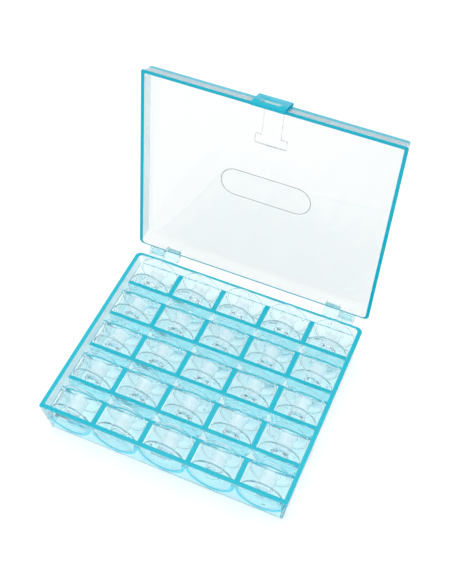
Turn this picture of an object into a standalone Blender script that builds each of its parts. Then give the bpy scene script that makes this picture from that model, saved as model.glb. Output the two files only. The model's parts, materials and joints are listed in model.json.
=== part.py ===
"""Bobbin box: a clear tray with twenty-five troughs, a hinged lid with a snap latch, and its bobbins.

The box lies flat, the latch side faces -Y and the hinge side +Y. The lid stands open on its stop.
Lengths are in metres, with Z up and the ground at the tray's bottom edge.
"""

import math

import bmesh
import bpy
from mathutils import Matrix, Vector

MM = 0.001

# Tray shell: outer size at the rim, height, wall thicknesses and drafts
TRAY_WIDTH = 124.0 * MM
TRAY_DEPTH = 102.0 * MM
TRAY_HEIGHT = 20.0 * MM
FRONT_CORNER = 0.9 * MM
BACK_CORNER = 3.0 * MM
INNER_CORNERS = (0.4 * MM, 1.8 * MM)
RIM = 2.3 * MM
BACK_RIM = 1.4 * MM
SIDE_DRAFT = 2.2 * MM
BACK_DRAFT = 1.2 * MM
FOOT_WALL = 1.1 * MM

# Troughs: five across and five deep, each a half round with an end plate before and behind it
COLUMNS = 5
COLUMN_PITCH = 24.2 * MM
TROUGH_RADIUS = 10.75 * MM
TROUGH_WALL = 1.0 * MM
TROUGH_AXIS_Z = 12.5 * MM
TROUGH_TOP_Z = 14.2 * MM
TROUGH_STEPS = 14
# Each row from the back: (start of the solid, start of the hollow, end of the hollow, end of the solid)
ROWS = (
    (34.0 * MM, 36.0 * MM, 49.0 * MM, 49.5 * MM),
    (13.0 * MM, 15.0 * MM, 28.45 * MM, 29.35 * MM),
    (-8.0 * MM, -6.0 * MM, 7.45 * MM, 8.35 * MM),
    (-29.0 * MM, -27.0 * MM, -13.55 * MM, -12.65 * MM),
    (-48.6 * MM, -48.1 * MM, -34.55 * MM, -33.65 * MM),
)

# Hinge: two pairs of knuckles behind the back wall
HINGE_Y = 54.4 * MM
HINGE_Z = 20.3 * MM
BARREL_RADIUS = 2.3 * MM
STUB_RADIUS = 1.2 * MM
BORE_RADIUS = 1.3 * MM
LID_KNUCKLE_X = (39.7 * MM, 47.7 * MM)
TRAY_KNUCKLE_X = (48.0 * MM, 56.0 * MM)
STUB_END_X = 54.5 * MM
BORE_END_X = 55.0 * MM
OPEN_ANGLE = math.radians(99.5)

# Catch ridge on the front wall
CATCH_HALF = 4.0 * MM
CATCH_Z = 18.5 * MM
CATCH_OUT = 0.6 * MM

# Lid, measured as it lies closed on the tray
LID_HALF = 62.6 * MM
LID_BACK = 52.0 * MM
LID_RIM_Z = 20.3 * MM
LID_HEIGHT = 8.0 * MM
LID_DRAFT = 2.0 * MM
LID_SIDE_DRAFT = 1.0 * MM
LID_WALL = 1.8 * MM
LID_BACK_WALL = 0.8 * MM
LID_CORNERS = (1.2 * MM, 2.6 * MM)
LID_EDGE = 0.4 * MM
SLIT_X = (39.95 * MM, 46.6 * MM)
SLIT_WIDTH = 0.35 * MM
SLIT_HEIGHT = 2.6 * MM
PANEL = 1.2 * MM
LABEL_LENGTH = 46.0 * MM
LABEL_WIDTH = 15.0 * MM
LABEL_DEPTH = 0.3 * MM

# Latch: a block on a T-shaped tongue, which rocks on two pins inside the panel
LATCH_HALF = 8.0 * MM
STEM_HALF = 4.5 * MM
FOOT_HALF = 7.6 * MM
FOOT_Y = (-30.5 * MM, -26.0 * MM)
TONGUE_Z = (27.2 * MM, 28.2 * MM)
PIVOT_Y = -28.2 * MM
PIVOT_Z = 27.7 * MM
PIN_RADIUS = 0.35 * MM
PIN_END = 9.0 * MM
PIN_CLEARANCE = 0.09 * MM
GAP = 0.3 * MM
WINDOW_HALF = 4.6 * MM
WINDOW_Z = 20.7 * MM
WINDOW_RADIUS = 0.8 * MM

# Bobbin
BOBBIN_RADIUS = 10.25 * MM
BOBBIN_WIDTH = 11.7 * MM
FLANGE = 0.9 * MM
HUB_RADIUS = 3.9 * MM
BOBBIN_BORE = 3.0 * MM
BOBBIN_Z = 12.3 * MM
BOBBIN_STEPS = 20
EYE_RADIUS = 0.8 * MM
EYE_AT = 8.0 * MM
# Where each bobbin's thread eyes stand, in degrees, one row of the box to a line
EYE_ANGLES = (
    (35, 150, 70, 20, 110),
    (300, 60, 145, 95, 10),
    (80, 200, 30, 250, 130),
    (165, 40, 320, 75, 215),
    (100, 25, 140, 55, 280),
)

CLEAR_CYAN = (0.62, 0.90, 0.95, 0.45)
CLEAR_LID = (0.80, 0.94, 0.97, 0.35)
LATCH_CYAN = (0.05, 0.62, 0.75, 0.9)
CLEAR_BOBBIN = (0.88, 0.95, 0.97, 0.4)


def clear_scene():
    for obj in list(bpy.data.objects):
        bpy.data.objects.remove(obj, do_unlink=True)
    for group in list(bpy.data.collections):
        bpy.data.collections.remove(group)
    for name in ("bobbin_box", "cutters"):
        group = bpy.data.collections.new(name)
        bpy.context.scene.collection.children.link(group)
    bpy.data.collections["cutters"].hide_render = True


def material(name, colour, roughness=0.2):
    mat = bpy.data.materials.new(name)
    mat.use_nodes = True
    shader = mat.node_tree.nodes["Principled BSDF"]
    shader.inputs["Base Color"].default_value = (*colour[:3], 1.0)
    shader.inputs["Alpha"].default_value = colour[3]
    shader.inputs["Roughness"].default_value = roughness
    mat.diffuse_color = colour
    return mat


def finish_mesh(bm, name, group="cutters", mat=None):
    """Turns a bmesh into an object of the given collection."""
    bmesh.ops.recalc_face_normals(bm, faces=bm.faces)
    mesh = bpy.data.meshes.new(name)
    bm.to_mesh(mesh)
    bm.free()
    obj = bpy.data.objects.new(name, mesh)
    bpy.data.collections[group].objects.link(obj)
    if mat:
        mesh.materials.append(mat)
    if group == "cutters":
        obj.hide_render = True
        obj.display_type = "WIRE"
    return obj


def add_loft(bm, loops, ring=False):
    """Skins a list of equal loops of points: capped at both ends, or closed on itself as a ring."""
    rows = [[bm.verts.new(p) for p in loop] for loop in loops]
    pairs = list(zip(rows[:-1], rows[1:]))
    if ring:
        pairs.append((rows[-1], rows[0]))
    else:
        bm.faces.new(rows[0])
        bm.faces.new(list(reversed(rows[-1])))
    for a, b in pairs:
        for i in range(len(a)):
            j = (i + 1) % len(a)
            bm.faces.new((a[i], b[i], b[j], a[j]))


def add_prism_x(bm, outline, x0, x1):
    """A prism along X from an outline of (y, z) points."""
    add_loft(bm, [[(x, y, z) for y, z in outline] for x in (x0, x1)])


def add_prism_y(bm, outline, y0, y1):
    """A prism along Y from an outline of (x, z) points."""
    add_loft(bm, [[(x, y, z) for x, z in outline] for y in (y0, y1)])


def add_box(bm, xs, ys, zs):
    outline = [(ys[0], zs[0]), (ys[1], zs[0]), (ys[1], zs[1]), (ys[0], zs[1])]
    add_prism_x(bm, outline, xs[0], xs[1])


def circle(cy, cz, radius, steps):
    turns = [2.0 * math.pi * (i + 0.5) / steps for i in range(steps)]
    return [(cy + radius * math.cos(t), cz + radius * math.sin(t)) for t in turns]


def rounded_loop(x_side, y_front, y_back, radii, z):
    """A rounded rectangle in plan, symmetric about X = 0, with its own radii in front and behind."""
    points = []
    front, back = radii
    corners = (
        (x_side - back, y_back - back, back, 0.0),
        (back - x_side, y_back - back, back, 90.0),
        (front - x_side, y_front + front, front, 180.0),
        (x_side - front, y_front + front, front, 270.0),
    )
    for cx, cy, radius, start in corners:
        for step in range(5):
            turn = math.radians(start + 22.5 * step)
            points.append((cx + radius * math.cos(turn), cy + radius * math.sin(turn), z))
    return points


def boolean(obj, cutter, operation):
    mod = obj.modifiers.new(cutter.name, "BOOLEAN")
    mod.operation = operation
    mod.solver = "EXACT"
    mod.object = cutter


def mirrored(ends):
    """The same stretch of X on both sides of the box."""
    return (ends, (-ends[1], -ends[0]))


def tray_shell():
    """The walls: a ring drafted in towards its open bottom, with a thicker rim."""
    half = TRAY_WIDTH / 2.0
    front = -TRAY_DEPTH / 2.0
    back = TRAY_DEPTH / 2.0
    foot_side = half - SIDE_DRAFT
    foot_front = front + SIDE_DRAFT
    foot_back = back - BACK_DRAFT
    outer_radii = (FRONT_CORNER, BACK_CORNER)
    bm = bmesh.new()
    loops = [
        rounded_loop(foot_side, foot_front, foot_back, outer_radii, 0.0),
        rounded_loop(half, front, back, outer_radii, TRAY_HEIGHT),
        rounded_loop(half - RIM, front + RIM, back - BACK_RIM, INNER_CORNERS, TRAY_HEIGHT),
        rounded_loop(
            foot_side - FOOT_WALL, foot_front + FOOT_WALL, foot_back - FOOT_WALL, INNER_CORNERS, 0.0
        ),
    ]
    add_loft(bm, loops, ring=True)
    return finish_mesh(bm, "tray", "bobbin_box", material("clear_cyan", CLEAR_CYAN))


def column_x(column):
    return (column - (COLUMNS - 1) / 2.0) * COLUMN_PITCH


def lower_arc(cx, radius):
    """The lower half of a circle in (x, z), from the left end to the right one."""
    turns = [math.pi * (1.0 + i / TROUGH_STEPS) for i in range(TROUGH_STEPS + 1)]
    return [(cx + radius * math.cos(t), TROUGH_AXIS_Z + radius * math.sin(t)) for t in turns]


def trough_rows():
    """One solid to a row: flat on top, scalloped below."""
    outline = []
    for column in range(COLUMNS):
        outline += lower_arc(column_x(column), TROUGH_RADIUS + TROUGH_WALL)
    outline.append((outline[-1][0], TROUGH_TOP_Z))
    outline.append((outline[0][0], TROUGH_TOP_Z))
    bm = bmesh.new()
    for start, _, _, end in ROWS:
        add_prism_y(bm, outline, start, end)
    return finish_mesh(bm, "trough_rows")


def trough_hollows():
    bm = bmesh.new()
    for _, start, end, _ in ROWS:
        for column in range(COLUMNS):
            outline = lower_arc(column_x(column), TROUGH_RADIUS)
            outline.append((outline[-1][0], TROUGH_TOP_Z + 1.0 * MM))
            outline.append((outline[0][0], TROUGH_TOP_Z + 1.0 * MM))
            add_prism_y(bm, outline, start, end)
    return finish_mesh(bm, "trough_hollows")


def tray_knuckles():
    """Barrels behind the back wall, each on a web out of the rim."""
    bm = bmesh.new()
    web = (
        (HINGE_Y, HINGE_Z - BARREL_RADIUS),
        (HINGE_Y, TRAY_HEIGHT),
        (TRAY_DEPTH / 2.0 - 0.9 * MM, TRAY_HEIGHT),
        (TRAY_DEPTH / 2.0 - 0.9 * MM, HINGE_Z - 4.3 * MM),
    )
    for xs in mirrored(TRAY_KNUCKLE_X):
        add_prism_x(bm, web, *xs)
    webs = finish_mesh(bm, "tray_webs")
    bm = bmesh.new()
    for xs in mirrored(TRAY_KNUCKLE_X):
        add_prism_x(bm, circle(HINGE_Y, HINGE_Z, BARREL_RADIUS, 20), *xs)
    barrels = finish_mesh(bm, "tray_barrels")
    bm = bmesh.new()
    for xs in mirrored((TRAY_KNUCKLE_X[0] - 1.0 * MM, BORE_END_X)):
        add_prism_x(bm, circle(HINGE_Y, HINGE_Z, BORE_RADIUS, 20), *xs)
    bores = finish_mesh(bm, "tray_bores")
    return webs, barrels, bores


def catch_ridge():
    """A shallow rounded ridge across the front wall, faded out at its ends."""
    face = -TRAY_DEPTH / 2.0 + SIDE_DRAFT * (1.0 - CATCH_Z / TRAY_HEIGHT)
    sections = []
    for x, out in ((-1.0, 0.25), (-0.85, 1.0), (0.85, 1.0), (1.0, 0.25)):
        ridge = [(face + 0.4 * MM, CATCH_Z - 0.5 * MM), (face + 0.4 * MM, CATCH_Z + 0.5 * MM)]
        ridge += [
            (face - out * CATCH_OUT * math.cos(t), CATCH_Z + 0.5 * MM * math.sin(t))
            for t in (1.2, 0.6, 0.0, -0.6, -1.2)
        ]
        sections.append([(x * CATCH_HALF, y, z) for y, z in ridge])
    bm = bmesh.new()
    add_loft(bm, sections)
    return finish_mesh(bm, "catch_ridge")


def build_tray():
    tray = tray_shell()
    webs, barrels, bores = tray_knuckles()
    for part in (trough_rows(), webs, barrels, catch_ridge()):
        boolean(tray, part, "UNION")
    for cutter in (trough_hollows(), bores):
        boolean(tray, cutter, "DIFFERENCE")


def lid_shell():
    """A shallow drafted cap, open towards the tray."""
    front = -TRAY_DEPTH / 2.0
    top = LID_RIM_Z + LID_HEIGHT
    ceiling = top - PANEL

    def outer(z, inset):
        rise = (z - LID_RIM_Z) / LID_HEIGHT
        lean = LID_DRAFT * rise + inset
        side = LID_HALF - LID_SIDE_DRAFT * rise - inset
        radii = [radius - inset for radius in LID_CORNERS]
        return rounded_loop(side, front + lean, LID_BACK - lean, radii, z)

    def inner(z):
        lean = LID_DRAFT * (z - LID_RIM_Z) / LID_HEIGHT
        side = LID_HALF - LID_WALL
        back = LID_BACK - LID_BACK_WALL - lean
        return rounded_loop(side, front + LID_WALL + lean, back, INNER_CORNERS, z)

    loops = [
        inner(ceiling),
        inner(LID_RIM_Z),
        outer(LID_RIM_Z, 0.0),
        outer(top - LID_EDGE, 0.0),
        outer(top, LID_EDGE),
    ]
    bm = bmesh.new()
    add_loft(bm, loops)
    return finish_mesh(bm, "lid", "bobbin_box", material("clear_lid", CLEAR_LID))


def lid_slits():
    """Narrow cuts in the back wall, beside each knuckle's web."""
    bm = bmesh.new()
    for x in SLIT_X:
        for xs in mirrored((x, x + SLIT_WIDTH)):
            add_box(
                bm,
                xs,
                (LID_BACK - 3.2 * MM, LID_BACK + 0.05 * MM),
                (LID_RIM_Z - 0.5 * MM, LID_RIM_Z + SLIT_HEIGHT),
            )
    return finish_mesh(bm, "lid_slits")


def lid_knuckles():
    """Barrels with their webs to the lid's back wall, stop heels and stub pins."""
    bm = bmesh.new()
    for xs in mirrored(LID_KNUCKLE_X):
        add_box(
            bm,
            xs,
            (LID_BACK - 0.7 * MM, HINGE_Y),
            (LID_RIM_Z + 0.2 * MM, LID_RIM_Z + BARREL_RADIUS),
        )
    webs = finish_mesh(bm, "lid_webs")
    bm = bmesh.new()
    for xs in mirrored(LID_KNUCKLE_X):
        add_prism_x(bm, circle(HINGE_Y, HINGE_Z, BARREL_RADIUS, 20), *xs)
    barrels = finish_mesh(bm, "lid_barrels")
    heel = (
        (TRAY_DEPTH / 2.0 + GAP, HINGE_Z - 2.1 * MM),
        (HINGE_Y, HINGE_Z - 2.1 * MM),
        (HINGE_Y, HINGE_Z - 0.6 * MM),
        (TRAY_DEPTH / 2.0 + GAP, HINGE_Z - 0.6 * MM),
    )
    turned = [turn_about(point, HINGE_Y, HINGE_Z, OPEN_ANGLE) for point in heel]
    bm = bmesh.new()
    for xs in mirrored(LID_KNUCKLE_X):
        add_prism_x(bm, turned, *xs)
    heels = finish_mesh(bm, "lid_heels")
    bm = bmesh.new()
    for xs in mirrored((LID_KNUCKLE_X[1] - 1.0 * MM, STUB_END_X)):
        add_prism_x(bm, circle(HINGE_Y, HINGE_Z, STUB_RADIUS, 20), *xs)
    stubs = finish_mesh(bm, "lid_stubs")
    return webs, barrels, heels, stubs


def turn_about(point, cy, cz, angle):
    """Turns a (y, z) point about a line along X."""
    y, z = point[0] - cy, point[1] - cz
    return (
        cy + y * math.cos(angle) - z * math.sin(angle),
        cz + y * math.sin(angle) + z * math.cos(angle),
    )


def pin_sockets():
    """Blind holes inside the panel, beside the tongue's foot, for the latch's pins."""
    bm = bmesh.new()
    for xs in mirrored((FOOT_HALF - 0.5 * MM, PIN_END + GAP)):
        add_prism_x(bm, circle(PIVOT_Y, PIVOT_Z, PIN_RADIUS + PIN_CLEARANCE, 12), *xs)
    return finish_mesh(bm, "pin_sockets")


def tongue_slot():
    """The T-shaped opening in the panel, running out through the top of the front wall."""
    low = LID_RIM_Z + LID_HEIGHT - PANEL - 0.4 * MM
    high = LID_RIM_Z + LID_HEIGHT + 1.0 * MM
    stem = STEM_HALF + GAP
    foot = FOOT_HALF + GAP
    front = -TRAY_DEPTH / 2.0 - 1.0 * MM
    plan = (
        (-stem, front),
        (stem, front),
        (stem, FOOT_Y[0] - GAP),
        (foot, FOOT_Y[0] - GAP),
        (foot, FOOT_Y[1] + GAP),
        (-foot, FOOT_Y[1] + GAP),
        (-foot, FOOT_Y[0] - GAP),
        (-stem, FOOT_Y[0] - GAP),
    )
    bm = bmesh.new()
    add_loft(bm, [[(x, y, z) for x, y in plan] for z in (low, high)])
    return finish_mesh(bm, "tongue_slot")


def stadium(half_length, radius, steps=8):
    points = []
    for side in (1.0, -1.0):
        for i in range(steps + 1):
            turn = math.pi * (i / steps - 0.5)
            points.append(
                (side * (half_length - radius + radius * math.cos(turn)), side * radius * math.sin(turn))
            )
    return points


def label_recess():
    top = LID_RIM_Z + LID_HEIGHT
    plan = stadium(LABEL_LENGTH / 2.0, LABEL_WIDTH / 2.0)
    bm = bmesh.new()
    add_loft(bm, [[(x, y + 0.5 * MM, z) for x, y in plan] for z in (top - LABEL_DEPTH, top + MM)])
    return finish_mesh(bm, "label_recess")


def lift_open(obj, y, z):
    """Turns an object drawn in the closed lid to the open pose, with its origin on the line (y, z)."""
    opening = (
        Matrix.Translation((0.0, HINGE_Y, HINGE_Z))
        @ Matrix.Rotation(-OPEN_ANGLE, 4, "X")
        @ Matrix.Translation((0.0, -HINGE_Y, -HINGE_Z))
    )
    obj.matrix_world = opening @ Matrix.Translation((0.0, y, z))


def move_origin(objects, y, z):
    for obj in objects:
        obj.data.transform(Matrix.Translation((0.0, -y, -z)))


def build_lid():
    lid = lid_shell()
    webs, barrels, heels, stubs = lid_knuckles()
    unions = (webs, barrels, heels, stubs)
    cutters = (tongue_slot(), pin_sockets(), label_recess(), lid_slits())
    pieces = (lid, *unions, *cutters)
    move_origin(pieces, HINGE_Y, HINGE_Z)
    for piece in pieces:
        lift_open(piece, HINGE_Y, HINGE_Z)
    for part in unions:
        boolean(lid, part, "UNION")
    for cutter in cutters:
        boolean(lid, cutter, "DIFFERENCE")


def latch_block():
    """The block over the lid's front wall, hooked under its lower edge, with rounded ends."""
    front = -TRAY_DEPTH / 2.0
    profile = (
        (front + 1.40 * MM, 27.2 * MM),
        (front - 0.30 * MM, LID_RIM_Z),
        (front - 0.80 * MM, 19.9 * MM),
        (front - 0.80 * MM, 17.7 * MM),
        (front - 0.15 * MM, 17.6 * MM),
        (front - 0.15 * MM, 17.2 * MM),
        (front - 0.80 * MM, 16.9 * MM),
        (front - 1.80 * MM, 17.2 * MM),
        (front - 1.90 * MM, LID_RIM_Z),
        (front - 0.30 * MM, 27.7 * MM),
        (front + 0.20 * MM, 28.2 * MM),
        (front + 1.60 * MM, 28.2 * MM),
    )
    sections = []
    for x, size in ((-1.0, 0.72), (-0.93, 1.0), (0.93, 1.0), (1.0, 0.72)):
        mid_y, mid_z = front - 0.8 * MM, 22.7 * MM
        thin = 1.0 if size == 1.0 else 0.55
        sections.append(
            [(x * LATCH_HALF, mid_y + (y - mid_y) * thin, mid_z + (z - mid_z) * size) for y, z in profile]
        )
    bm = bmesh.new()
    add_loft(bm, sections)
    return finish_mesh(bm, "latch", "bobbin_box", material("latch_cyan", LATCH_CYAN))


def latch_tongue():
    """The T-shaped tongue, with a pin at each end of its foot."""
    bm = bmesh.new()
    front = -TRAY_DEPTH / 2.0 + 0.5 * MM
    plan = (
        (-STEM_HALF, front),
        (STEM_HALF, front),
        (STEM_HALF, FOOT_Y[0]),
        (FOOT_HALF, FOOT_Y[0]),
        (FOOT_HALF, FOOT_Y[1]),
        (-FOOT_HALF, FOOT_Y[1]),
        (-FOOT_HALF, FOOT_Y[0]),
        (-STEM_HALF, FOOT_Y[0]),
    )
    add_loft(bm, [[(x, y, z) for x, y in plan] for z in TONGUE_Z])
    tongue = finish_mesh(bm, "latch_tongue")
    bm = bmesh.new()
    for xs in mirrored((FOOT_HALF - 0.5 * MM, PIN_END)):
        add_prism_x(bm, circle(PIVOT_Y, PIVOT_Z, PIN_RADIUS, 12), *xs)
    pins = finish_mesh(bm, "latch_pins")
    return tongue, pins


def latch_window():
    outline = [(x, WINDOW_Z + z) for x, z in stadium(WINDOW_HALF, WINDOW_RADIUS, 6)]
    bm = bmesh.new()
    add_prism_y(bm, outline, -TRAY_DEPTH / 2.0 - 4.0 * MM, -TRAY_DEPTH / 2.0 + 1.0 * MM)
    return finish_mesh(bm, "latch_window")


def build_latch():
    latch = latch_block()
    unions = latch_tongue()
    window = latch_window()
    pieces = (latch, *unions, window)
    move_origin(pieces, PIVOT_Y, PIVOT_Z)
    for piece in pieces:
        lift_open(piece, PIVOT_Y, PIVOT_Z)
    for part in unions:
        boolean(latch, part, "UNION")
    boolean(latch, window, "DIFFERENCE")


def bobbin_profile():
    """The wall of the bobbin in (radius, y), once round."""
    half = BOBBIN_WIDTH / 2.0
    return (
        (BOBBIN_BORE, -half),
        (BOBBIN_RADIUS, -half),
        (BOBBIN_RADIUS, FLANGE - half),
        (HUB_RADIUS, FLANGE - half),
        (HUB_RADIUS, half - FLANGE),
        (BOBBIN_RADIUS, half - FLANGE),
        (BOBBIN_RADIUS, half),
        (BOBBIN_BORE, half),
    )


def build_bobbins():
    mat = material("clear_bobbin", CLEAR_BOBBIN, 0.15)
    for row, line in enumerate(EYE_ANGLES):
        y = (ROWS[row][1] + ROWS[row][2]) / 2.0
        for column, angle in enumerate(line):
            bm = bmesh.new()
            loops = []
            for step in range(BOBBIN_STEPS):
                turn = 2.0 * math.pi * step / BOBBIN_STEPS
                loops.append(
                    [(r * math.cos(turn), t, r * math.sin(turn)) for r, t in bobbin_profile()]
                )
            add_loft(bm, loops, ring=True)
            name = f"bobbin_r{row + 1}_c{column + 1}"
            bobbin = finish_mesh(bm, name, "bobbin_box", mat)
            place = Matrix.Translation((column_x(column), y, BOBBIN_Z))
            place = place @ Matrix.Rotation(-math.radians(angle), 4, "Y")
            bm = bmesh.new()
            eye = [(EYE_AT + a, b) for a, b in circle(0.0, 0.0, EYE_RADIUS, 8)]
            for side in (-1.0, 1.0):
                middle = side * (BOBBIN_WIDTH - FLANGE) / 2.0
                add_prism_y(bm, eye, middle - FLANGE, middle + FLANGE)
            eyes = finish_mesh(bm, f"{name}_eyes")
            bobbin.matrix_world = place
            eyes.matrix_world = place
            boolean(bobbin, eyes, "DIFFERENCE")


clear_scene()
build_tray()
build_lid()
build_latch()
build_bobbins()
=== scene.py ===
"""Looks of the bobbin box: mouldings of clear cyan plastic, and clear bobbins.

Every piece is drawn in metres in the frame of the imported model. The lid and its latch are drawn
closed and then turned open about the hinge axis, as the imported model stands.
"""

import json
import math

import bmesh
import bpy
from mathutils import Matrix, Vector


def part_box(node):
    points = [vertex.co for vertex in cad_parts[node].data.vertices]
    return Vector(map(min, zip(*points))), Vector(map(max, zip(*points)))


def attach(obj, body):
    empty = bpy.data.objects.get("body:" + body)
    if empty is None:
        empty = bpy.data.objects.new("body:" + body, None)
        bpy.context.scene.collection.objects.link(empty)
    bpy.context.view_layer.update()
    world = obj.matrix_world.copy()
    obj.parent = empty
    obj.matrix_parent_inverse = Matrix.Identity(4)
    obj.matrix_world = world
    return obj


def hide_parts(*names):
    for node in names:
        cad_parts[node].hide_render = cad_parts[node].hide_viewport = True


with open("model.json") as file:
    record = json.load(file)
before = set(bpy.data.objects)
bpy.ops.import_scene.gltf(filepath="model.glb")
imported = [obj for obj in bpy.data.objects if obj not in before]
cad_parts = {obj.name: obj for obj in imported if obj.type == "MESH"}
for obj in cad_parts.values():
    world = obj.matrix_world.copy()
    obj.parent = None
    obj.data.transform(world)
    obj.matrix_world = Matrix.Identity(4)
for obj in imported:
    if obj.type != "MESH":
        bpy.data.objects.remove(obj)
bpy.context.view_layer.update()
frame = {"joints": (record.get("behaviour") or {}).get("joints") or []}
scene = bpy.context.scene
MM = 0.001

JOINTS = {joint["name"]: joint for joint in frame["joints"]}

# Outer size of the box, and its walls
HALF_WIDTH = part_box("tray")[1][0]
HALF_DEPTH = 51.0 * MM
TRAY_HEIGHT = 20.0 * MM
FRONT_CORNER = 0.9 * MM
BACK_CORNER = 3.0 * MM
INNER_CORNERS = (0.4 * MM, 1.8 * MM)
RIM = 2.3 * MM
BACK_RIM = 1.4 * MM
SIDE_DRAFT = 2.2 * MM
BACK_DRAFT = 1.2 * MM
FOOT_WALL = 1.1 * MM
EDGE_ROUND = 0.3 * MM
WALL_TOP_ROUND = 0.15 * MM

# Troughs
COLUMNS = 5
COLUMN_PITCH = 24.2 * MM
TROUGH_RADIUS = 10.75 * MM
TROUGH_WALL = 1.0 * MM
TROUGH_AXIS_Z = 12.5 * MM
TROUGH_TOP_Z = 14.2 * MM
TROUGH_STEPS = 44
END_BAND = 0.8 * MM
ROW_GAP = 0.04 * MM
HOLLOW_GAP = 0.02 * MM
FRONT_LIP = 0.5 * MM
FRONT_LIP_DEPTH = 0.4 * MM
# Each row from the back: (start of the solid, start of the hollow, end of the hollow, end of the solid)
ROWS = (
    (34.0 * MM, 36.0 * MM, 49.0 * MM, 49.5 * MM),
    (13.0 * MM, 15.0 * MM, 28.45 * MM, 29.35 * MM),
    (-8.0 * MM, -6.0 * MM, 7.45 * MM, 8.35 * MM),
    (-29.0 * MM, -27.0 * MM, -13.55 * MM, -12.65 * MM),
    (-48.6 * MM, -48.1 * MM, -34.55 * MM, -33.65 * MM),
)

# Hinge
HINGE_Y = JOINTS["lid_hinge"]["pos_m"][1]
HINGE_Z = JOINTS["lid_hinge"]["pos_m"][2]
OPEN_ANGLE = -math.radians(JOINTS["lid_hinge"]["range_deg"][0])
BARREL_RADIUS = 2.3 * MM
STUB_RADIUS = 1.2 * MM
BORE_RADIUS = 1.3 * MM
LID_KNUCKLE_X = (39.7 * MM, 47.7 * MM)
TRAY_KNUCKLE_X = (48.0 * MM, 56.0 * MM)
STUB_END_X = 54.5 * MM
BORE_END_X = 55.0 * MM

# Catch ridge on the front wall
CATCH_HALF = 4.0 * MM
CATCH_Z = 18.5 * MM
CATCH_OUT = 0.6 * MM

# Lid, as it lies closed on the tray
LID_HALF = 62.6 * MM
LID_BACK = 52.0 * MM
LID_RIM_Z = 20.3 * MM
LID_HEIGHT = 8.0 * MM
LID_DRAFT = 2.0 * MM
LID_SIDE_DRAFT = 1.0 * MM
LID_WALL = 1.8 * MM
LID_BACK_WALL = 0.8 * MM
LID_CORNERS = (1.2 * MM, 2.6 * MM)
CORNER_BAND = 3.4 * MM
SLIT_X = (39.95 * MM, 46.6 * MM)
SLIT_WIDTH = 0.35 * MM
SLIT_HEIGHT = 2.6 * MM
PANEL = 1.2 * MM
LABEL_LENGTH = 46.0 * MM
LABEL_WIDTH = 15.0 * MM
LABEL_DEPTH = 0.3 * MM
LABEL_Y = 0.5 * MM
GROOVE = 0.3 * MM

# Latch
LATCH_HALF = 8.0 * MM
STEM_HALF = 4.5 * MM
FOOT_HALF = 7.6 * MM
FOOT_Y = (-30.5 * MM, -26.0 * MM)
TONGUE_Z = (27.2 * MM, 28.2 * MM)
GAP = 0.3 * MM
WINDOW_HALF = 4.6 * MM
WINDOW_Z = 20.7 * MM
WINDOW_RADIUS = 0.8 * MM
DISH = 0.45 * MM

# Bobbin
BOBBIN_RADIUS = 10.25 * MM
BOBBIN_WIDTH = 11.7 * MM
FLANGE = 0.9 * MM
HUB_RADIUS = 3.9 * MM
BOBBIN_BORE = 3.0 * MM
BOBBIN_Z = 12.3 * MM
BOBBIN_STEPS = 80
EYE_RADIUS = 0.8 * MM
EYE_AT = 8.0 * MM
# Where each bobbin's thread eyes stand, in degrees, one row of the box to a line
EYE_ANGLES = (
    (35, 150, 70, 20, 110),
    (300, 60, 145, 95, 10),
    (80, 200, 30, 250, 130),
    (165, 40, 320, 75, 215),
    (100, 25, 140, 55, 280),
)


# Camera: where it stands round its target, what it looks at, and its lens in millimetres
CAMERA_AZIMUTH = math.radians(23.71)
CAMERA_ELEVATION = math.radians(52.57)
CAMERA_DISTANCE = 490.54 * MM
CAMERA_TARGET = (-9.03 * MM, 44.75 * MM, 20.0 * MM)
CAMERA_LENS = 39.97
SENSOR_HEIGHT = 24.0

# The room's grey by height, from level with the floor to overhead
ROOM_GREYS = ((0.0, 1.0), (0.06, 0.86), (0.30, 0.86), (0.48, 1.0), (1.0, 1.06))


# Camera, light and floor

def make_camera():
    azimuth, elevation = CAMERA_AZIMUTH, CAMERA_ELEVATION
    back = Vector((
        math.sin(azimuth) * math.cos(elevation),
        -math.cos(azimuth) * math.cos(elevation),
        math.sin(elevation),
    ))
    data = bpy.data.cameras.new("camera")
    obj = bpy.data.objects.new("camera", data)
    scene.collection.objects.link(obj)
    obj.location = Vector(CAMERA_TARGET) + back * CAMERA_DISTANCE
    obj.rotation_euler = (-back).to_track_quat("-Z", "Y").to_euler()
    data.sensor_fit = "VERTICAL"
    data.sensor_height = SENSOR_HEIGHT
    data.lens = CAMERA_LENS
    data.clip_start = 0.01
    data.clip_end = 20.0
    scene.camera = obj


def make_light():
    """A white room, a little darker low down so that clear edges draw thin lines, and a soft box above."""
    world = bpy.data.worlds.new("white_room")
    scene.world = world
    world.use_nodes = True
    tree = world.node_tree
    coords = tree.nodes.new("ShaderNodeTexCoord")
    split = tree.nodes.new("ShaderNodeSeparateXYZ")
    ramp = tree.nodes.new("ShaderNodeValToRGB")
    tree.links.new(coords.outputs["Generated"], split.inputs[0])
    tree.links.new(split.outputs["Z"], ramp.inputs["Fac"])
    points = ramp.color_ramp.elements
    while len(points) < len(ROOM_GREYS):
        points.new(0.5)
    for point, (height, grey) in zip(points, ROOM_GREYS):
        point.position = height
        point.color = (grey, grey, grey, 1.0)
    tree.links.new(ramp.outputs["Color"], tree.nodes["Background"].inputs["Color"])
    tree.nodes["Background"].inputs["Strength"].default_value = 1.0
    lamp = bpy.data.lights.new("soft_box", "AREA")
    lamp.shape = "RECTANGLE"
    lamp.size = 0.5
    lamp.size_y = 0.9
    lamp.energy = 1.6
    obj = bpy.data.objects.new("soft_box", lamp)
    scene.collection.objects.link(obj)
    obj.location = (-0.15, 0.1, 1.1)


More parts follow.
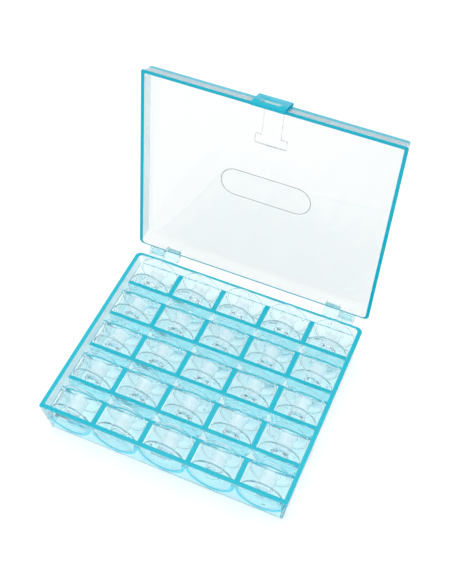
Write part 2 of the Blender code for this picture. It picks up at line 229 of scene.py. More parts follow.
def make_floor():
    size, steps, depth = 3.0, 24, 0.0003
    bm = bmesh.new()
    bmesh.ops.create_grid(bm, x_segments=steps, y_segments=steps, size=size / 2.0)
    mesh = bpy.data.meshes.new("floor")
    bm.to_mesh(mesh)
    bm.free()
    floor = bpy.data.objects.new("floor", mesh)
    floor.location.z = -depth
    scene.collection.objects.link(floor)
    mat = bpy.data.materials.new("white_floor")
    mat.use_nodes = True
    shader = mat.node_tree.nodes["Principled BSDF"]
    shader.inputs["Base Color"].default_value = (0.97, 0.97, 0.97, 1.0)
    shader.inputs["Roughness"].default_value = 0.9
    shader.inputs["Specular IOR Level"].default_value = 0.0
    shader.inputs["Emission Color"].default_value = (1.0, 1.0, 1.0, 1.0)
    shader.inputs["Emission Strength"].default_value = 0.12
    mesh.materials.append(mat)


def let_light_through():
    """Light needs many turns inside clear plastic before it comes out again."""
    scene.view_settings.view_transform = "Standard"
    cycles = scene.cycles
    cycles.max_bounces = 160
    cycles.diffuse_bounces = 24
    cycles.glossy_bounces = 160
    cycles.transmission_bounces = 160
    cycles.transparent_max_bounces = 24
    cycles.caustics_reflective = True
    cycles.caustics_refractive = True
    cycles.blur_glossy = 0.0
    cycles.sample_clamp_indirect = 6.0


# Materials

def add_surface_detail(tree, shader, roughness):
    """Mould flow in the gloss, slow waves in the surface and fine handling scratches."""
    coords = tree.nodes.new("ShaderNodeTexCoord")
    flow = tree.nodes.new("ShaderNodeTexNoise")
    flow.inputs["Scale"].default_value = 90.0
    flow.inputs["Detail"].default_value = 3.0
    tree.links.new(coords.outputs["Object"], flow.inputs["Vector"])
    gloss = tree.nodes.new("ShaderNodeMapRange")
    gloss.inputs["To Min"].default_value = roughness[0]
    gloss.inputs["To Max"].default_value = roughness[1]
    tree.links.new(flow.outputs["Fac"], gloss.inputs["Value"])
    tree.links.new(gloss.outputs["Result"], shader.inputs["Roughness"])
    slow = tree.nodes.new("ShaderNodeTexNoise")
    slow.inputs["Scale"].default_value = 160.0
    slow.inputs["Detail"].default_value = 1.0
    tree.links.new(coords.outputs["Object"], slow.inputs["Vector"])
    stretch = tree.nodes.new("ShaderNodeMapping")
    stretch.inputs["Scale"].default_value = (1.0, 0.08, 1.0)
    stretch.inputs["Rotation"].default_value = (0.2, 0.1, 0.7)
    tree.links.new(coords.outputs["Object"], stretch.inputs["Vector"])
    fine = tree.nodes.new("ShaderNodeTexNoise")
    fine.inputs["Scale"].default_value = 2600.0
    fine.inputs["Detail"].default_value = 2.0
    tree.links.new(stretch.outputs["Vector"], fine.inputs["Vector"])
    previous = None
    for noise, strength, height in ((slow, 0.012, 0.3 * MM), (fine, 0.01, 0.02 * MM)):
        bump = tree.nodes.new("ShaderNodeBump")
        bump.inputs["Strength"].default_value = strength
        bump.inputs["Distance"].default_value = height
        tree.links.new(noise.outputs["Fac"], bump.inputs["Height"])
        if previous:
            tree.links.new(previous.outputs["Normal"], bump.inputs["Normal"])
        previous = bump
    tree.links.new(previous.outputs["Normal"], shader.inputs["Normal"])


def clear_plastic(name, film, transmission=1.0, ior=1.49, roughness=(0.01, 0.04), specular=0.5):
    """Clear plastic: glossy, it bends light, and its film of colour tints what passes."""
    mat = bpy.data.materials.new(name)
    mat.use_nodes = True
    tree = mat.node_tree
    shader = tree.nodes["Principled BSDF"]
    shader.inputs["Base Color"].default_value = (*film, 1.0)
    shader.inputs["Transmission Weight"].default_value = transmission
    shader.inputs["IOR"].default_value = ior
    shader.inputs["Specular IOR Level"].default_value = specular
    add_surface_detail(tree, shader, roughness)
    return mat


def deep_and_painted_edge(name, colour):
    """The narrow edge of a clear wall, which gathers the colour of all the plastic behind it; the same
    opaque finish also carries painted shade lines and a ring brightened with painted light.
    """
    return clear_plastic(name, colour, transmission=0.0, roughness=(0.15, 0.3), specular=0.25)


MATERIALS = {
    "clear_cyan": clear_plastic("clear_cyan_plastic", (0.87, 0.975, 0.985)),
    "tray_edge": deep_and_painted_edge("tray_edge_plastic", (0.011, 0.48, 0.61)),
    # painted shade: the front wall's own tint made darker than the general film, to paint in the shaded
    # floor under the tray seen through it
    "shaded_tray_front": clear_plastic("tray_front_plastic", (0.70, 0.92, 0.96), ior=1.2),
    # painted light: a brighter copy of the deep edge colour, to make up for the shade the ring stands in
    # behind the front wall
    "brightened_front_ring": deep_and_painted_edge("front_ring_plastic", (0.012, 0.80, 0.96)),
    "tray_side": clear_plastic("tray_side_plastic", (0.88, 0.95, 0.965), transmission=0.3),
    "tray_plate": clear_plastic("tray_plate_plastic", (0.50, 0.92, 0.98), transmission=0.7),
    "knuckle": clear_plastic("knuckle_plastic", (0.78, 0.94, 0.96), transmission=0.85, ior=1.35),
    "clear_lid": clear_plastic("clear_lid_plastic", (0.82, 0.835, 0.835)),
    "lid_wall": clear_plastic("lid_wall_plastic", (0.80, 0.90, 0.915), transmission=0.6),
    "lid_edge": deep_and_painted_edge("lid_edge_plastic", (0.0, 0.42, 0.56)),
    # painted shade: dark grey lines standing in for the shade in the label groove and along the tray's foot
    "painted_shade_line": deep_and_painted_edge("cut_line_plastic", (0.20, 0.26, 0.27)),
    "latch_cyan": clear_plastic("latch_plastic", (0.0, 0.53, 0.70), transmission=0.2, specular=0.25),
    "latch_slot": clear_plastic("latch_slot_plastic", (0.42, 0.78, 0.80), transmission=0.3),
    "clear_bobbin": clear_plastic("bobbin_plastic", (0.97, 0.98, 0.985), ior=1.2),
    "bobbin_hub": clear_plastic("bobbin_hub_plastic", (0.90, 0.96, 0.98), transmission=0.65),
    # painted shade: near-black outlines on the flanges' rounded rims, standing in for the dark edges that
    # refraction draws
    "bobbin_painted_outline": deep_and_painted_edge("bobbin_line_plastic", (0.08, 0.11, 0.13)),
}


# The finishes on each piece, the general one first
TRAY_FINISHES = (
    "clear_cyan", "tray_edge", "shaded_tray_front", "tray_side",
    "painted_shade_line", "tray_plate", "knuckle", "brightened_front_ring",
)
LID_FINISHES = ("clear_lid", "lid_edge", "lid_wall", "painted_shade_line", "knuckle")
LATCH_FINISHES = ("latch_cyan", "clear_lid", "latch_slot")
BOBBIN_FINISHES = ("clear_bobbin", "bobbin_hub", "bobbin_painted_outline")


# Mesh tools

def add_loft(bm, loops, ring=False):
    """Skins a list of equal loops of points: capped at both ends, or closed on itself as a ring."""
    rows = [[bm.verts.new(p) for p in loop] for loop in loops]
    pairs = list(zip(rows[:-1], rows[1:]))
    if ring:
        pairs.append((rows[-1], rows[0]))
    else:
        bm.faces.new(rows[0])
        bm.faces.new(list(reversed(rows[-1])))
    for a, b in pairs:
        for i in range(len(a)):
            j = (i + 1) % len(a)
            bm.faces.new((a[i], b[i], b[j], a[j]))


def add_prism_x(bm, outline, x0, x1):
    add_loft(bm, [[(x, y, z) for y, z in outline] for x in (x0, x1)])


def add_prism_y(bm, outline, y0, y1):
    add_loft(bm, [[(x, y, z) for x, z in outline] for y in (y0, y1)])


def add_box(bm, xs, ys, zs):
    outline = [(ys[0], zs[0]), (ys[1], zs[0]), (ys[1], zs[1]), (ys[0], zs[1])]
    add_prism_x(bm, outline, xs[0], xs[1])


def add_barrel_x(bm, cy, cz, radius, x0, x1, steps=40, edge=0.25 * MM):
    """A round bar along X with rounded ends."""
    sections = []
    for x, inset in ((x0, edge), (x0 + 0.3 * edge, 0.3 * edge), (x0 + edge, 0.0)):
        sections.append((x, radius - inset))
    for x, inset in ((x1 - edge, 0.0), (x1 - 0.3 * edge, 0.3 * edge), (x1, edge)):
        sections.append((x, radius - inset))
    add_loft(bm, [[(x, y, z) for y, z in circle(cy, cz, r, steps)] for x, r in sections])


def circle(cy, cz, radius, steps):
    turns = [2.0 * math.pi * (i + 0.5) / steps for i in range(steps)]
    return [(cy + radius * math.cos(t), cz + radius * math.sin(t)) for t in turns]


def rounded_outline(corners, steps=3):
    """A polygon of (a, b, radius) corners with each corner turned into an arc."""
    points = []
    count = len(corners)
    for i, (a, b, radius) in enumerate(corners):
        here = Vector((a, b))
        before = (Vector(corners[i - 1][:2]) - here).normalized()
        after = (Vector(corners[(i + 1) % count][:2]) - here).normalized()
        if radius <= 0.0:
            points.append((a, b))
            continue
        half = math.acos(max(-1.0, min(1.0, before.dot(after)))) / 2.0
        middle = here + (before + after).normalized() * (radius / math.sin(half))
        start = here + before * (radius / math.tan(half)) - middle
        end = here + after * (radius / math.tan(half)) - middle
        sweep = math.atan2(start.x * end.y - start.y * end.x, start.dot(end))
        for step in range(steps + 1):
            arm = Matrix.Rotation(sweep * step / steps, 2) @ start
            points.append(tuple(middle + arm))
    return points


def rounded_plan(x_side, y_front, y_back, radii, z, steps=6):
    """A rounded rectangle in plan, symmetric about X = 0, with its own radii in front and behind."""
    points = []
    front, back = radii
    corners = (
        (x_side - back, y_back - back, back, 0.0),
        (back - x_side, y_back - back, back, 90.0),
        (front - x_side, y_front + front, front, 180.0),
        (x_side - front, y_front + front, front, 270.0),
    )
    for cx, cy, radius, start in corners:
        for step in range(steps + 1):
            turn = math.radians(start + 90.0 * step / steps)
            points.append((cx + radius * math.cos(turn), cy + radius * math.sin(turn), z))
    return points


def stadium(half_length, radius, steps=16):
    points = []
    for side in (1.0, -1.0):
        for i in range(steps + 1):
            turn = math.pi * (i / steps - 0.5)
            x = half_length - radius + radius * math.cos(turn)
            points.append((side * x, side * radius * math.sin(turn)))
    return points


def mirrored(ends):
    """The same stretch of X on both sides of the box."""
    return (ends, (-ends[1], -ends[0]))


def to_object(bm, name):
    bmesh.ops.recalc_face_normals(bm, faces=bm.faces)
    mesh = bpy.data.meshes.new(name)
    bm.to_mesh(mesh)
    bm.free()
    obj = bpy.data.objects.new(name, mesh)
    scene.collection.objects.link(obj)
    return obj


def solid(name, *adders):
    """One object from functions that each add a closed form to its bmesh."""
    bm = bmesh.new()
    for add in adders:
        add(bm)
    return to_object(bm, name)


def combine(obj, unions, cutters):
    """Joins and cuts the object, keeps the result as its plain mesh and removes the tools."""
    for tools, operation in ((unions, "UNION"), (cutters, "DIFFERENCE")):
        for tool in tools:
            mod = obj.modifiers.new(tool.name, "BOOLEAN")
            mod.operation = operation
            mod.solver = "EXACT"
            mod.object = tool
    graph = bpy.context.evaluated_depsgraph_get()
    mesh = bpy.data.meshes.new_from_object(obj.evaluated_get(graph), depsgraph=graph)
    obj.modifiers.clear()
    old, obj.data = obj.data, mesh
    bpy.data.meshes.remove(old)
    for tool in (*unions, *cutters):
        bpy.data.objects.remove(tool, do_unlink=True)


def ease_edges(obj, offset, wanted, weld=0.003 * MM):
    """Rounds the outward edges that the test function picks, after slivers are welded away."""
    bm = bmesh.new()
    bm.from_mesh(obj.data)
    bmesh.ops.remove_doubles(bm, verts=bm.verts, dist=weld)
    bmesh.ops.dissolve_limit(
        bm, angle_limit=math.radians(1.0), verts=bm.verts, edges=bm.edges, delimit={"MATERIAL"}
    )
    corners = [e for e in bm.edges if e.is_convex and e.calc_face_angle() > math.radians(60.0)]
    edges = [e for e in corners if wanted(e)]
    if edges:
        bmesh.ops.bevel(
            bm, geom=edges, offset=offset, segments=3, profile=0.6, affect="EDGES", clamp_overlap=False
        )
    bm.to_mesh(obj.data)
    bm.free()


def shade(obj, angle=35.0):
    obj.data.shade_smooth()
    obj.data.set_sharp_from_angle(angle=math.radians(angle))


def finish_piece(obj, body, node, finishes):
    obj.data.materials.clear()
    for name in finishes:
        obj.data.materials.append(MATERIALS[name])
    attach(obj, body)
    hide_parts(node)


# Tray

def column_x(column):
    return (column - (COLUMNS - 1) / 2.0) * COLUMN_PITCH


def tray_shell():
    half, front, back = HALF_WIDTH, -HALF_DEPTH, HALF_DEPTH
    corners = (FRONT_CORNER, BACK_CORNER)

    def outer(z):
        """The drafted outside at a height, and how far in it stands."""
        lean = 1.0 - z / TRAY_HEIGHT
        return half - SIDE_DRAFT * lean, front + SIDE_DRAFT * lean, back - BACK_DRAFT * lean

    loops = []
    round_steps = 4
    x, y0, y1 = outer(0.0)
    loops.append(rounded_plan(x - 0.15 * MM, y0 + 0.15 * MM, y1 - 0.15 * MM, corners, 0.0))
    x, y0, y1 = outer(0.15 * MM)
    loops.append(rounded_plan(x, y0, y1, corners, 0.15 * MM))
    x, y0, y1 = outer(TRAY_HEIGHT - EDGE_ROUND)
    for step in range(round_steps + 1):
        turn = math.pi / 2.0 * step / round_steps
        z = TRAY_HEIGHT - EDGE_ROUND * (1.0 - math.sin(turn))
        inset = EDGE_ROUND * (1.0 - math.cos(turn))
        radii = [radius - inset for radius in corners]
        loops.append(rounded_plan(x - inset, y0 + inset, y1 - inset, radii, z))
    for step in range(round_steps + 1):
        turn = math.pi / 2.0 * step / round_steps
        z = TRAY_HEIGHT - EDGE_ROUND * (1.0 - math.cos(turn))
        inset = EDGE_ROUND * (1.0 - math.sin(turn))
        radii = [radius + inset for radius in INNER_CORNERS]
        loops.append(rounded_plan(
            half - RIM + inset, front + RIM - inset, back - BACK_RIM + inset, radii, z
        ))
    x, y0, y1 = outer(0.0)
    loops.append(rounded_plan(x - FOOT_WALL, y0 + FOOT_WALL, y1 - FOOT_WALL, INNER_CORNERS, 0.0))
    return solid("tray_moulding", lambda bm: add_loft(bm, loops, ring=True))


def lower_arc(cx, radius):
    """The lower half of a circle in (x, z), from the left end to the right one."""
    turns = [math.pi * (1.0 + i / TROUGH_STEPS) for i in range(TROUGH_STEPS + 1)]
    return [(cx + radius * math.cos(t), TROUGH_AXIS_Z + radius * math.sin(t)) for t in turns]


def front_wall_y(z):
    """The inner face of the front wall, which leans."""
    return -HALF_DEPTH + RIM + (SIDE_DRAFT + FOOT_WALL - RIM) * (1.0 - z / TRAY_HEIGHT)


def trough_rows():
    """One solid to a row, with a narrow band of its own at its front; the front row ends at the wall."""
    outline = []
    for column in range(COLUMNS):
        outline += lower_arc(column_x(column), TROUGH_RADIUS + TROUGH_WALL)
    outline.append((outline[-1][0], TROUGH_TOP_Z))
    outline.append((outline[0][0], TROUGH_TOP_Z))
    bm = bmesh.new()
    for start, _, _, end in ROWS[:-1]:
        add_loft(bm, [[(x, y, z) for x, z in outline] for y in (start, start + END_BAND, end)])
    near, band = [
        [(x, front_wall_y(z) + ahead, z) for x, z in outline] for ahead in (ROW_GAP, ROW_GAP + END_BAND)
    ]
    add_loft(bm, [near, band, [(x, ROWS[-1][3], z) for x, z in outline]])
    return to_object(bm, "trough_rows")


def trough_hollows():
    bm = bmesh.new()
    for row, (_, start, end, _) in enumerate(ROWS):
        for column in range(COLUMNS):
            full, lipped = [
                lower_arc(column_x(column), radius) for radius in (TROUGH_RADIUS, TROUGH_RADIUS - FRONT_LIP)
            ]
            for outline in (full, lipped):
                outline.append((outline[-1][0], TROUGH_TOP_Z + 1.0 * MM))
                outline.append((outline[0][0], TROUGH_TOP_Z + 1.0 * MM))
            near = [[(x, start, z) for x, z in full]]
            if row == len(ROWS) - 1:
                steps = (
                    (lipped, HOLLOW_GAP),
                    (lipped, FRONT_LIP_DEPTH),
                    (full, FRONT_LIP_DEPTH + 0.06 * MM),
                )
                near = [[(x, front_wall_y(z) + ahead, z) for x, z in line] for line, ahead in steps]
            add_loft(bm, [*near, [(x, end, z) for x, z in full]])
    return to_object(bm, "trough_hollows")


def tray_knuckles():
    web = (
        (HINGE_Y, HINGE_Z - BARREL_RADIUS),
        (HINGE_Y, TRAY_HEIGHT - 0.05 * MM),
        (HALF_DEPTH - 0.9 * MM, TRAY_HEIGHT - 0.05 * MM),
        (HALF_DEPTH - 0.9 * MM, HINGE_Z - 4.3 * MM),
    )
    webs = solid("webs", *[lambda bm, xs=xs: add_prism_x(bm, web, *xs) for xs in mirrored(TRAY_KNUCKLE_X)])
    barrels = solid("barrels", *[
        lambda bm, xs=xs: add_barrel_x(bm, HINGE_Y, HINGE_Z, BARREL_RADIUS, *xs)
        for xs in mirrored(TRAY_KNUCKLE_X)
    ])
    bore = circle(HINGE_Y, HINGE_Z, BORE_RADIUS, 40)
    bores = solid("bores", *[
        lambda bm, xs=xs: add_prism_x(bm, bore, *xs)
        for xs in mirrored((TRAY_KNUCKLE_X[0] - 1.0 * MM, BORE_END_X))
    ])
    return webs, barrels, bores


def catch_ridge():
    face = -HALF_DEPTH + SIDE_DRAFT * (1.0 - CATCH_Z / TRAY_HEIGHT)
    sections = []
    for x, out in ((-1.0, 0.15), (-0.93, 0.7), (-0.82, 1.0), (0.82, 1.0), (0.93, 0.7), (1.0, 0.15)):
        ridge = [(face + 0.4 * MM, CATCH_Z - 0.5 * MM), (face + 0.4 * MM, CATCH_Z + 0.5 * MM)]
        for step in range(11):
            turn = 1.3 - 2.6 * step / 10
            ridge.append((face - out * CATCH_OUT * math.cos(turn), CATCH_Z + 0.5 * MM * math.sin(turn)))
        sections.append([(x * CATCH_HALF, y, z) for y, z in ridge])
    return solid("catch_ridge", lambda bm: add_loft(bm, sections))


def tray_finish(face):
    """The finish of a face of the tray, or None where it keeps the general one."""
    x, y, z = face.center
    normal = face.normal
    column = min(range(COLUMNS), key=lambda i: abs(column_x(i) - x))
    from_axis = math.hypot(x - column_x(column), z - TROUGH_AXIS_Z)
    behind = y - front_wall_y(z)
    under = z < TROUGH_AXIS_Z + 0.1 * MM and from_axis > TROUGH_RADIUS + 0.9 * TROUGH_WALL
    band = any(start < y < start + END_BAND for start, _, _, _ in ROWS[:-1])
    ring = z < TROUGH_AXIS_Z and 0.0 < behind < (END_BAND if under else 0.5 * MM)
    front = normal.y < -0.2 and y < 3.0 * MM - HALF_DEPTH
    shaded_front_face = front and normal.y < -0.9 and behind < -0.8 * MM
    side_wall = HALF_WIDTH - RIM - (1.0 - z / TRAY_HEIGHT) * (SIDE_DRAFT + FOOT_WALL - RIM)
    # painted light: the front face of the front row, just behind the wall, gets the brightened ring colour
    if normal.y < -0.9 and abs(behind - ROW_GAP) < 0.01 * MM:
        return "brightened_front_ring"
    if abs(normal.y) < 0.3 and (under and band or ring):
        return "tray_edge"
    if front and abs(normal.z) < 0.3 and abs(normal.x) > 0.2:
        return "tray_edge"
    # painted shade: the front wall's outer face and its inner face get the darkened front film
    if shaded_front_face or normal.y > 0.9 and abs(behind) < 0.015 * MM:
        return "shaded_tray_front"
    if abs(normal.x) > 0.8 and abs(abs(x) - side_wall) < 0.1 * MM:
        return "tray_side"
    # painted shade: the bevel round the tray's foot is drawn as a dark line against the floor
    if z < 0.2 * MM and 0.1 < abs(normal.z) < 0.95:
        return "painted_shade_line"
    if normal.y < -0.9 and any(abs(y - row[0]) < 0.05 * MM for row in ROWS[:-1]):
        return "tray_plate"
    if y > HALF_DEPTH + 0.3 * MM:
        return "knuckle"
    return None


def mark_deep_and_painted_faces(obj):
    """Gives the places where the plastic is deep, and the walls and plates, their own finishes; it also
    paints shade on the front wall and along the foot, and paints light on the front ring.
    """
    for face in obj.data.polygons:
        finish = tray_finish(face)
        if finish:
            face.material_index = TRAY_FINISHES.index(finish)


def mark_tray_edges(obj):
    """Gives the tops of the walls the deep edge finish."""
    for face in obj.data.polygons:
        flat = face.normal.z > 0.75
        top = face.center.z > TRAY_HEIGHT - EDGE_ROUND and abs(face.center.y) < HALF_DEPTH
        wall_top = abs(face.center.z - TROUGH_TOP_Z) < 0.25 * MM
        if flat and (top or wall_top):
            face.material_index = TRAY_FINISHES.index("tray_edge")


def on_wall_top(edge):
    return all(abs(vert.co.z - TROUGH_TOP_Z) < 0.01 * MM for vert in edge.verts)


def make_tray():
    tray = tray_shell()
    webs, barrels, bores = tray_knuckles()
    combine(tray, (trough_rows(), webs, barrels, catch_ridge()), (trough_hollows(), bores))
    finish_piece(tray, "tray", "tray", TRAY_FINISHES)
    mark_deep_and_painted_faces(tray)
    ease_edges(tray, WALL_TOP_ROUND, on_wall_top)
    mark_tray_edges(tray)
    shade(tray)


# Lid

OPENING = (
    Matrix.Translation((0.0, HINGE_Y, HINGE_Z))
    @ Matrix.Rotation(-OPEN_ANGLE, 4, "X")
    @ Matrix.Translation((0.0, -HINGE_Y, -HINGE_Z))
)


def lid_shell():
    front = -HALF_DEPTH
    top = LID_RIM_Z + LID_HEIGHT
    ceiling = top - PANEL
    fillet = 0.4 * MM
    rim_round = 0.15 * MM
    steps = 4

    def inner(z, inset):
        """The inside outline at a height, drawn in by an inset."""
        lean = LID_DRAFT * (z - LID_RIM_Z) / LID_HEIGHT + inset
        back = LID_BACK - LID_BACK_WALL - lean
        return rounded_plan(LID_HALF - LID_WALL - inset, front + LID_WALL + lean, back, INNER_CORNERS, z)

    def outer(z, inset):
        rise = (z - LID_RIM_Z) / LID_HEIGHT
        lean = LID_DRAFT * rise + inset
        side = LID_HALF - LID_SIDE_DRAFT * rise - inset
        return rounded_plan(side, front + lean, LID_BACK - lean, [r - inset for r in LID_CORNERS], z)

    turns = [math.pi / 2.0 * step / steps for step in range(steps + 1)]
    loops = [inner(ceiling - fillet * (1.0 - math.cos(t)), fillet * (1.0 - math.sin(t))) for t in turns]
    loops += [
        inner(LID_RIM_Z + rim_round * (1.0 - math.sin(t)), -rim_round * (1.0 - math.cos(t))) for t in turns
    ]
    loops += [
        outer(LID_RIM_Z + rim_round * (1.0 - math.cos(t)), rim_round * (1.0 - math.sin(t))) for t in turns
    ]
    loops.append(outer(top - CORNER_BAND, 0.0))
    loops += [outer(top - fillet * (1.0 - math.sin(t)), fillet * (1.0 - math.cos(t))) for t in turns]
    return solid("lid_moulding", lambda bm: add_loft(bm, loops))


def lid_slits():
    """Narrow cuts in the back wall, at the ends of each knuckle's web."""
    ys = (LID_BACK - 3.2 * MM, LID_BACK + 0.05 * MM)
    zs = (LID_RIM_Z - 0.5 * MM, LID_RIM_Z + SLIT_HEIGHT)
    places = [xs for x in SLIT_X for xs in mirrored((x, x + SLIT_WIDTH))]
    return solid("lid_slits", *[lambda bm, xs=xs: add_box(bm, xs, ys, zs) for xs in places])


def lid_knuckles():
    """Barrels with their webs to the lid's back wall, stop heels and stub pins."""
    web_y = (LID_BACK - 0.7 * MM, HINGE_Y)
    web_z = (LID_RIM_Z + 0.2 * MM, LID_RIM_Z + BARREL_RADIUS)
    webs = solid("lid_webs", *[
        lambda bm, xs=xs: add_box(bm, xs, web_y, web_z) for xs in mirrored(LID_KNUCKLE_X)
    ])
    barrels = solid("lid_barrels", *[
        lambda bm, xs=xs: add_barrel_x(bm, HINGE_Y, HINGE_Z, BARREL_RADIUS, *xs)
        for xs in mirrored(LID_KNUCKLE_X)
    ])
    heel_y = (HALF_DEPTH + GAP, HINGE_Y)
    heel_z = (HINGE_Z - 2.1 * MM, HINGE_Z - 0.6 * MM)
    heels = solid("lid_heels", *[
        lambda bm, xs=xs: add_box(bm, xs, heel_y, heel_z) for xs in mirrored(LID_KNUCKLE_X)
    ])
    heels.data.transform(OPENING.inverted())
    stubs = solid("lid_stubs", *[
        lambda bm, xs=xs: add_prism_x(bm, circle(HINGE_Y, HINGE_Z, STUB_RADIUS, 40), *xs)
        for xs in mirrored((LID_KNUCKLE_X[1] - 1.0 * MM, STUB_END_X))
    ])
    return webs, barrels, heels, stubs


def tee_plan(stem, foot, front, foot_y, radius):
    """The latch tongue's T in plan, with its foot towards the hinge."""
    return rounded_outline((
        (-stem, front, 0.0),
        (stem, front, 0.0),
        (stem, foot_y[0], radius),
        (foot, foot_y[0], radius),
        (foot, foot_y[1], radius),
        (-foot, foot_y[1], radius),
        (-foot, foot_y[0], radius),
        (-stem, foot_y[0], radius),
    ))


def add_plate(bm, plan, z0, z1):
    add_loft(bm, [[(x, y, z) for x, y in plan] for z in (z0, z1)])


def tongue_slot():
    """The T-shaped opening in the panel, running out through the top of the front wall."""
    top = LID_RIM_Z + LID_HEIGHT
    foot_y = (FOOT_Y[0] - GAP, FOOT_Y[1] + GAP)
    plan = tee_plan(STEM_HALF + GAP, FOOT_HALF + GAP, -HALF_DEPTH - 1.0 * MM, foot_y, 0.6 * MM)
    return solid("tongue_slot", lambda bm: add_plate(bm, plan, top - PANEL - 0.4 * MM, top + MM))


def label_recess():
    """A shallow recess in the panel, with a fine groove round its floor."""
    top = LID_RIM_Z + LID_HEIGHT
    length, width = LABEL_LENGTH / 2.0, LABEL_WIDTH / 2.0
    whole = [(x, y + LABEL_Y) for x, y in stadium(length, width)]
    floor = [(x, y + LABEL_Y) for x, y in stadium(length - GROOVE, width - GROOVE)]
    recess = solid("label_recess", lambda bm: add_plate(bm, whole, top - LABEL_DEPTH, top + MM))
    step = top - LABEL_DEPTH + 0.04 * MM
    raised = solid("label_floor", lambda bm: add_plate(bm, floor, top - LABEL_DEPTH - MM, step))
    combine(recess, (), (raised,))
    return recess


def lid_finish(face):
    """The finish of a face of the closed lid, or None where it keeps the general one."""
    top = LID_RIM_Z + LID_HEIGHT
    x, y, z = face.center
    rim = face.normal.z < -0.75 and z < LID_RIM_Z + 0.1 * MM and y < LID_BACK
    in_wall = abs(x) > LID_HALF - 3.0 * MM or y < 4.3 * MM - HALF_DEPTH
    corner = z > top - CORNER_BAND and face.normal.z < 0.99 and y < 2.8 * MM - HALF_DEPTH
    before_back = y < LID_BACK - 4.0 * MM
    if rim or corner:
        return "lid_edge"
    if abs(face.normal.z) < 0.5 and in_wall and before_back:
        return "lid_wall"
    # painted shade: the floor of the groove round the label recess is drawn as a dark line
    if abs(z - top + LABEL_DEPTH) < 0.01 * MM and before_back:
        return "painted_shade_line"
    if y > LID_BACK + 0.1 * MM:
        return "knuckle"
    return None


def mark_lid_edges(obj):
    """The rim and the outer corner gather colour, the walls look more solid than the panel, and the groove
    round the label is drawn as a line of painted shade.
    """
    for face in obj.data.polygons:
        finish = lid_finish(face)
        if finish:
            face.material_index = LID_FINISHES.index(finish)


def make_lid():
    lid = lid_shell()
    combine(lid, lid_knuckles(), (tongue_slot(), label_recess(), lid_slits()))
    finish_piece(lid, "lid", "lid", LID_FINISHES)
    mark_lid_edges(lid)
    shade(lid)
    lid.data.transform(OPENING)


# Latch

def latch_block():
    """The block over the lid's front wall, hooked under its lower edge, with rounded ends."""
    front = -HALF_DEPTH
    profile = rounded_outline((
        (front + 1.40 * MM, 27.2 * MM, 0.2 * MM),
        (front - 0.30 * MM, LID_RIM_Z, 0.3 * MM),
        (front - 0.80 * MM, 19.9 * MM, 0.2 * MM),
        (front - 0.80 * MM, 17.7 * MM, 0.1 * MM),
        (front - 0.15 * MM, 17.6 * MM, 0.1 * MM),
        (front - 0.15 * MM, 17.2 * MM, 0.1 * MM),
        (front - 0.80 * MM, 16.9 * MM, 0.2 * MM),
        (front - 1.80 * MM, 17.2 * MM, 0.4 * MM),
        (front - 1.90 * MM, LID_RIM_Z, 0.8 * MM),
        (front - 0.30 * MM, 27.7 * MM, 0.3 * MM),
        (front + 0.20 * MM, 28.15 * MM, 0.3 * MM),
        (front + 1.60 * MM, 28.15 * MM, 0.2 * MM),
    ), 4)
    mid_y, mid_z = front - 0.8 * MM, 22.7 * MM
    sections = []
    steps = 8
    for side in (-1.0, 1.0):
        for step in range(steps + 1):
            turn = math.pi / 2.0 * (step if side < 0 else steps - step) / steps
            x = side * (LATCH_HALF - 1.5 * MM * (1.0 - math.cos(math.pi / 2.0 - turn)))
            tall = 0.60 + 0.40 * math.sin(turn)
            thin = 0.50 + 0.50 * math.sin(turn)
            sections.append([
                (x, mid_y + (y - mid_y) * thin, mid_z + (z - mid_z) * tall) for y, z in profile
            ])
    return solid("latch_moulding", lambda bm: add_loft(bm, sections))


def latch_tongue():
    plan = tee_plan(STEM_HALF, FOOT_HALF, -HALF_DEPTH + 0.5 * MM, FOOT_Y, 0.5 * MM)
    return solid("tongue", lambda bm: add_plate(bm, plan, *TONGUE_Z))


def latch_window():
    """The slot through the block, in a shallow dish."""
    slot = [(x, WINDOW_Z + z) for x, z in stadium(WINDOW_HALF, WINDOW_RADIUS, 12)]
    dish = [(x, WINDOW_Z + z) for x, z in stadium(WINDOW_HALF + DISH, WINDOW_RADIUS + DISH, 12)]
    front = -HALF_DEPTH
    through = solid("latch_slot", lambda bm: add_prism_y(bm, slot, front - 4.0 * MM, front + 1.0 * MM))
    shallow = solid("latch_dish", lambda bm: add_prism_y(bm, dish, front - 4.0 * MM, front - 1.55 * MM))
    return through, shallow


def make_latch():
    latch = latch_block()
    combine(latch, (latch_tongue(),), latch_window())
    finish_piece(latch, "latch", "latch", LATCH_FINISHES)
    mark_latch(latch)
    shade(latch)
    latch.data.transform(OPENING)


def mark_latch(obj):
    """The tongue is as thin and clear as the lid's panel, and light falls through the window."""
    points = [vert.co for vert in obj.data.vertices]
    for face in obj.data.polygons:
        corners = [points[i] for i in face.vertices]
        across = [max(0.0, abs(p.x) - WINDOW_HALF + WINDOW_RADIUS) for p in corners]
        reach = max(math.hypot(a, p.z - WINDOW_Z) for a, p in zip(across, corners))
        if face.center.y > 2.0 * MM - HALF_DEPTH:
            face.material_index = LATCH_FINISHES.index("clear_lid")
        elif reach < WINDOW_RADIUS + DISH + 0.02 * MM:
            face.material_index = LATCH_FINISHES.index("latch_slot")


# Bobbins

def bobbin_profile():
    """The wall of the bobbin in (radius, y), once round: dished flanges on a tube."""
    half = BOBBIN_WIDTH / 2.0
    inside = half - FLANGE
    dish = 0.2 * MM
    side = [
        (BOBBIN_BORE, half, 0.25 * MM),
        (BOBBIN_BORE + 1.6 * MM, half, 0.1 * MM),
        (BOBBIN_BORE + 1.8 * MM, half - dish, 0.1 * MM),
        (BOBBIN_RADIUS - 1.1 * MM, half - dish, 0.1 * MM),
        (BOBBIN_RADIUS - 0.9 * MM, half, 0.1 * MM),
        (BOBBIN_RADIUS, half, 0.3 * MM),
        (BOBBIN_RADIUS, inside, 0.3 * MM),
        (HUB_RADIUS, inside, 0.5 * MM),
    ]
    other = [(r, -y, radius) for r, y, radius in reversed(side)]
    return rounded_outline(side + other)


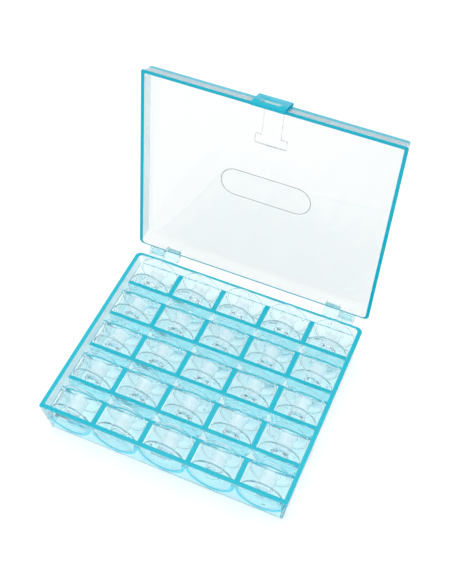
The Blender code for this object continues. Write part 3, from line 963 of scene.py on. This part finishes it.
def bobbin_mesh():
    profile = bobbin_profile()
    loops = []
    for step in range(BOBBIN_STEPS):
        turn = 2.0 * math.pi * step / BOBBIN_STEPS
        loops.append([(r * math.cos(turn), y, r * math.sin(turn)) for r, y in profile])
    body = solid("bobbin", lambda bm: add_loft(bm, loops, ring=True))
    eye = [(EYE_AT + a, b) for a, b in circle(0.0, 0.0, EYE_RADIUS, 28)]
    middle = (BOBBIN_WIDTH - FLANGE) / 2.0
    eyes = solid("eyes", *[
        lambda bm, y=side * middle: add_prism_y(bm, eye, y - FLANGE, y + FLANGE) for side in (-1.0, 1.0)
    ])
    combine(body, (), (eyes,))
    mesh = body.data
    for name in BOBBIN_FINISHES:
        mesh.materials.append(MATERIALS[name])
    for face in mesh.polygons:
        x, y, z = face.center
        radius = math.hypot(x, z)
        outer = radius > BOBBIN_RADIUS - 0.3 * MM and abs(y) > BOBBIN_WIDTH / 2.0 - 0.3 * MM
        in_tube = 0.3 * MM < radius - BOBBIN_BORE < 1.0 * MM and abs(y) < BOBBIN_WIDTH / 2.0 - FLANGE
        # painted shade: the rounded outer corners of the flanges are drawn as dark outlines
        if outer and 0.5 < abs(face.normal.y) < 0.87:
            face.material_index = BOBBIN_FINISHES.index("bobbin_painted_outline")
        elif in_tube:
            face.material_index = BOBBIN_FINISHES.index("bobbin_hub")
    shade(body)
    bpy.data.objects.remove(body, do_unlink=True)
    mesh.name = "bobbin"
    return mesh


def make_bobbins():
    mould = bobbin_mesh()
    for row, line in enumerate(EYE_ANGLES):
        middle_y = (ROWS[row][1] + ROWS[row][2]) / 2.0
        for column, angle in enumerate(line):
            node = f"bobbin_r{row + 1}_c{column + 1}"
            mesh = mould.copy()
            mesh.transform(Matrix.Rotation(-math.radians(angle), 4, "Y"))
            obj = bpy.data.objects.new(f"{node}_moulding", mesh)
            obj.location = (column_x(column), middle_y, BOBBIN_Z)
            scene.collection.objects.link(obj)
            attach(obj, node)
            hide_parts(node)
    bpy.data.meshes.remove(mould)


make_camera()
make_light()
make_floor()
let_light_through()
make_tray()
make_lid()
make_latch()
make_bobbins()
